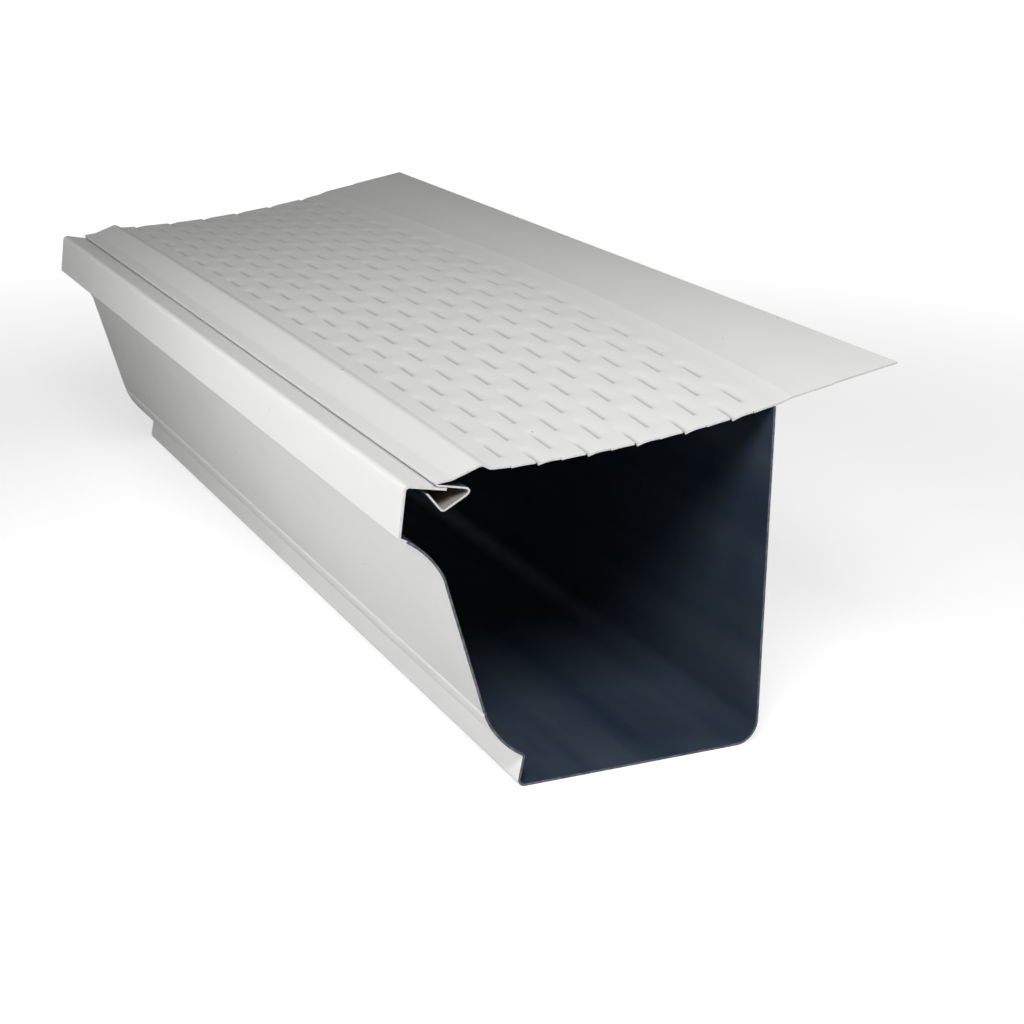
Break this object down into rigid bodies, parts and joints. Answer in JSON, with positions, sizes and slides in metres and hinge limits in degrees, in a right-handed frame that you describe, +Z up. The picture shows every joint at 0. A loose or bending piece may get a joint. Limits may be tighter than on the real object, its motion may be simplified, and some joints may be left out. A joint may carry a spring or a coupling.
{
  "type": "gutter guard",
  "caption": "Louvred sheet-metal gutter guard hooked on the front lip of a short ogee eaves gutter, with a rear flange to slide under the roof edge; it keeps leaves out and lets rain in.",
  "frame": {"origin": "centre of the part's box, on the surface that the gutter's flat floor stands on", "axes": "+X along the length, -Y to the ogee front, +Y to the wall and roof, +Z up"},
  "size_m": [0.425, 0.1719, 0.1245],
  "materials": {
    "gutter_enamel": "satin",
    "guard_enamel": "satin"
  },
  "bodies": {
    "root": {"gutter_trough": "gutter_enamel", "guard_panel": "guard_enamel"}
  },
  "joints": []
}
